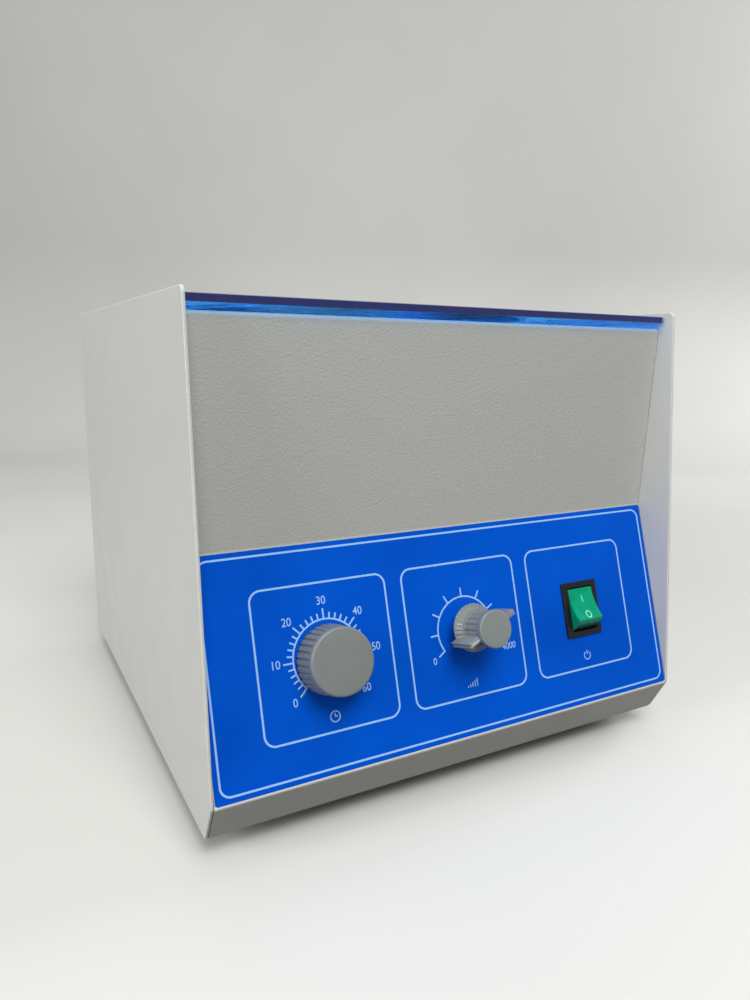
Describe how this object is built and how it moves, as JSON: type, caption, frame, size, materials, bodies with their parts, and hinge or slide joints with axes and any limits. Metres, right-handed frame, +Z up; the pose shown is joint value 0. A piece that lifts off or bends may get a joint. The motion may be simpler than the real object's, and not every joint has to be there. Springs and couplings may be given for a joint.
{
  "type": "benchtop centrifuge",
  "caption": "Benchtop centrifuge: grey sheet cabinet, blue see-through hinged lid, angle rotor in a round chamber, sloping control panel with timer, speed knob and rocker switch.",
  "frame": {"origin": "on the bench plane under the middle of the whole machine's box", "axes": "+Z up, -Y towards the user who faces the control panel, +X to that user's right"},
  "size_m": [0.285, 0.3345, 0.2537],
  "materials": {
    "side_paint": "light grey semi-gloss paint",
    "panel_paint": "grey paint with a fine leather grain",
    "back_paint": "grey semi-gloss paint",
    "deck_paint": "pale semi-gloss paint",
    "zinc": "zinc plated sheet",
    "screw_steel": "bright plated steel",
    "stainless": "spun stainless steel",
    "hinge_steel": "rolled steel",
    "black_rubber": "matt rubber",
    "grey_rubber": "matt rubber",
    "clear_silicone": "clear silicone, smooth",
    "lid_acrylic": "clear blue acrylic",
    "label_film": "printed polyester film",
    "label_print": "white ink",
    "rotor_alloy": "machined and anodised",
    "sleeve_alloy": "turned",
    "nut_brass": "turned",
    "shaft_steel": "ground",
    "core_steel": "laminated",
    "copper": "enamelled wire",
    "bar_copper": "turned",
    "fan_plastic": "moulded",
    "bearing_steel": "ground",
    "motor_paint": "black enamel",
    "cast_alloy": "die cast",
    "holder_plastic": "moulded",
    "carbon": "pressed carbon",
    "timer_case": "moulded",
    "knob_grey": "fine moulded grain",
    "speed_knob_grey": "fine moulded grain",
    "pot_steel": "stamped",
    "switch_black": "moulded",
    "rocker_green": "translucent green",
    "inlet_black": "moulded",
    "contact_brass": "plated",
    "board_green": "printed board",
    "component_mix": "anodised and moulded",
    "wire_cover": "insulated"
  },
  "bodies": {
    "cabinet": {"left_side_plate": "side_paint", "right_side_plate": "side_paint", "front_panel": "panel_paint", "rear_panel": "back_paint", "top_deck": "deck_paint", "base_plate": "zinc", "corner_angles": "zinc", "feet": "black_rubber", "cabinet_screws": "screw_steel", "cabinet_nuts": "zinc", "chamber_bowl": "stainless", "rim_seal": "black_rubber", "neck_seal": "grey_rubber", "lid_bumpers": "clear_silicone", "cabinet_hinge_leaves": "hinge_steel", "hinge_pins": "shaft_steel", "bearing_outer_rings": "bearing_steel", "motor_can": "motor_paint", "motor_end_caps": "cast_alloy", "field_core": "core_steel", "field_coils": "copper", "brush_holders": "holder_plastic", "carbon_brushes": "carbon", "motor_mount_plate": "zinc", "mount_dampers": "black_rubber", "mount_posts": "zinc", "motor_bolts": "screw_steel", "control_label": "label_film", "panel_print": "label_print", "timer_body": "timer_case", "speed_potentiometer": "pot_steel", "switch_housing": "switch_black", "switch_terminals": "contact_brass", "mains_inlet": "inlet_black", "inlet_pins": "contact_brass", "fuse_holder": "inlet_black", "fuse_cap": "inlet_black", "control_board": "board_green", "board_spacers": "timer_case", "board_components": "component_mix", "wiring": "wire_cover"},
    "lid": {"lid_panel": "lid_acrylic", "lid_hinge_leaves": "hinge_steel", "lid_screws": "screw_steel", "lid_nuts": "screw_steel"},
    "rotor": {"rotor_body": "rotor_alloy", "tube_sleeves": "sleeve_alloy", "tube_cushions": "black_rubber", "rotor_nut": "nut_brass", "drive_shaft": "shaft_steel", "armature_core": "core_steel", "armature_windings": "copper", "commutator": "bar_copper", "cooling_fan": "fan_plastic", "bearing_inner_rings": "bearing_steel"},
    "timer_knob": {"timer_knob": "knob_grey", "timer_shaft": "shaft_steel"},
    "speed_knob": {"speed_knob": "speed_knob_grey", "speed_shaft": "shaft_steel"},
    "rocker": {"rocker": "rocker_green"}
  },
  "joints": [
    {"name": "lid_hinge", "type": "hinge", "parent": "cabinet", "child": "lid", "pos_m": [0, 0.15335, 0.2489], "axis": [-1, 0, 0], "range_deg": [0, 100]},
    {"name": "rotor_spin", "type": "hinge", "parent": "cabinet", "child": "rotor", "pos_m": [0, 0.01035, 0.208], "axis": [0, 0, 1], "continuous": true},
    {"name": "timer_turn", "type": "hinge", "parent": "cabinet", "child": "timer_knob", "pos_m": [-0.0794, -0.13892, 0.08466], "axis": [0, 0.9566, -0.2914], "range_deg": [0, 315]},
    {"name": "speed_turn", "type": "hinge", "parent": "cabinet", "child": "speed_knob", "pos_m": [0.0003, -0.13827, 0.08676], "axis": [0, 0.9566, -0.2914], "range_deg": [-8.5, 236.5]},
    {"name": "rocker_tilt", "type": "hinge", "parent": "cabinet", "child": "rocker", "pos_m": [0.0814, -0.13633, 0.08387], "axis": [1, 0, 0], "range_deg": [0, 40]}
  ]
}
